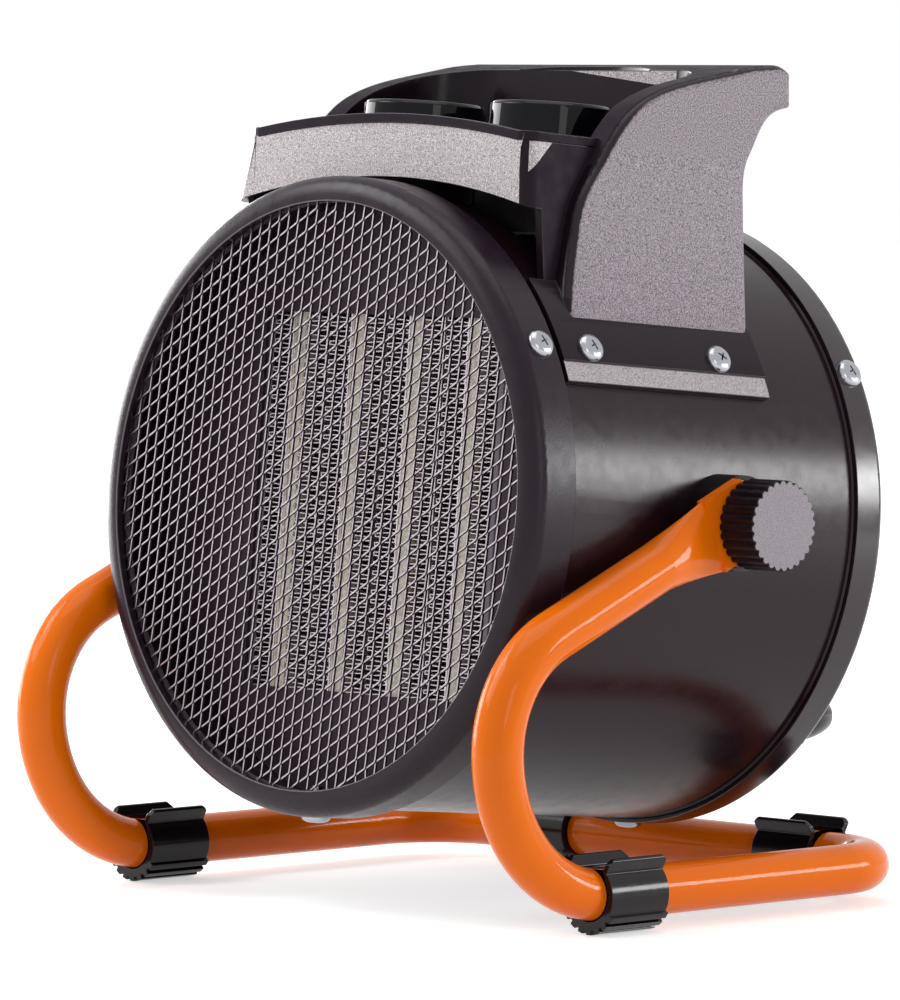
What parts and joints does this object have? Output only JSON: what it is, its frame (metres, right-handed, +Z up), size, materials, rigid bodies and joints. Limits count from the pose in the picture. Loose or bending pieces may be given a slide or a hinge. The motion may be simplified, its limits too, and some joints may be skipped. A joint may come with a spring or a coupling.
{
  "type": "forced air heater",
  "caption": "Round electric fan heater: a barrel with a mesh outlet and ceramic core, tilting on a bent tube stand, with a moulded handle and two dials on top.",
  "frame": {"origin": "on the floor, under the middle of the whole", "axes": "+Z up, the outlet looks along -Y, +X is on the right of someone who faces the outlet"},
  "size_m": [0.2512, 0.1975, 0.2655],
  "materials": {
    "orange_steel": "gloss powder coat",
    "black_clip": "satin moulded plastic",
    "black_steel": "satin powder coat on sheet steel",
    "dark_bezel": "satin paint",
    "grille_steel": "bare expanded steel",
    "zinc": "bright zinc plate",
    "heat_plastic": "heat resistant moulding",
    "core_aluminium": "mill finish",
    "ceramic_strip": "flat tube round ceramic stones",
    "motor_steel": "painted can",
    "shaft_steel": "ground steel",
    "housing_plastic": "spark eroded texture on the outer faces, smooth inside",
    "dial_plastic": "gloss black",
    "clamp_plastic": "matt black"
  },
  "bodies": {
    "stand": {"stand_tube": "orange_steel", "front_right_foot": "black_clip", "front_left_foot": "black_clip", "rear_right_foot": "black_clip", "rear_left_foot": "black_clip"},
    "right_clamp": {"right_clamp_knob": "clamp_plastic", "right_clamp_stud": "shaft_steel"},
    "left_clamp": {"left_clamp_knob": "clamp_plastic", "left_clamp_stud": "shaft_steel"},
    "thermostat_control": {"thermostat_dial": "dial_plastic", "thermostat_spindle": "shaft_steel"},
    "selector_control": {"selector_dial": "dial_plastic", "selector_spindle": "shaft_steel"},
    "fan_rotor": {"fan_impeller": "black_clip", "motor_shaft": "shaft_steel"},
    "heater_head": {"barrel_shell": "black_steel", "front_bezel": "dark_bezel", "front_grille": "grille_steel", "grille_ring": "grille_steel", "bezel_screws": "zinc", "rear_cover": "black_steel", "rear_cover_screws": "zinc", "core_baffle": "black_steel", "core_top_cap": "heat_plastic", "core_bottom_cap": "heat_plastic", "core_right_upright": "core_aluminium", "core_left_upright": "core_aluminium", "thermal_cutout": "heat_plastic", "fan_motor": "motor_steel", "motor_bracket": "zinc", "motor_screws": "zinc", "control_housing": "housing_plastic", "housing_screws": "zinc", "thermostat_body": "heat_plastic", "selector_switch": "heat_plastic", "cable_gland": "black_clip", "gland_nut": "black_clip", "terminal_block": "heat_plastic", "right_pivot_spacer": "black_clip", "right_pivot_insert": "zinc", "left_pivot_spacer": "black_clip", "left_pivot_insert": "zinc", "ptc_strip_1": "ceramic_strip", "ptc_strip_2": "ceramic_strip", "ptc_strip_3": "ceramic_strip", "ptc_strip_4": "ceramic_strip", "fin_pack_1": "core_aluminium", "fin_pack_2": "core_aluminium", "fin_pack_3": "core_aluminium", "fin_pack_4": "core_aluminium", "fin_pack_5": "core_aluminium", "fin_pack_6": "core_aluminium", "fin_pack_7": "core_aluminium", "fin_pack_8": "core_aluminium"}
  },
  "joints": [
    {"name": "head_tilt", "type": "hinge", "parent": "stand", "child": "heater_head", "pos_m": [0, 0.01311, 0.1235], "axis": [1, 0, 0], "range_deg": [-80, 4]},
    {"name": "right_clamp_turn", "type": "hinge", "parent": "heater_head", "child": "right_clamp", "pos_m": [0, 0.01311, 0.1235], "axis": [1, 0, 0], "range_deg": [0, 360]},
    {"name": "left_clamp_turn", "type": "hinge", "parent": "heater_head", "child": "left_clamp", "pos_m": [0, 0.01311, 0.1235], "axis": [1, 0, 0], "range_deg": [-360, 0]},
    {"name": "thermostat_turn", "type": "hinge", "parent": "heater_head", "child": "thermostat_control", "pos_m": [0.0293, 0.0053, 0.23667], "axis": [0, 0.0903, 0.9959], "range_deg": [-270, 0]},
    {"name": "selector_turn", "type": "hinge", "parent": "heater_head", "child": "selector_control", "pos_m": [-0.0293, 0.0053, 0.23667], "axis": [0, 0.0903, 0.9959], "range_deg": [-135, 0]},
    {"name": "fan_spin", "type": "hinge", "parent": "heater_head", "child": "fan_rotor", "pos_m": [0, 0.01311, 0.1235], "axis": [0, 0.9959, -0.0903], "continuous": true}
  ]
}
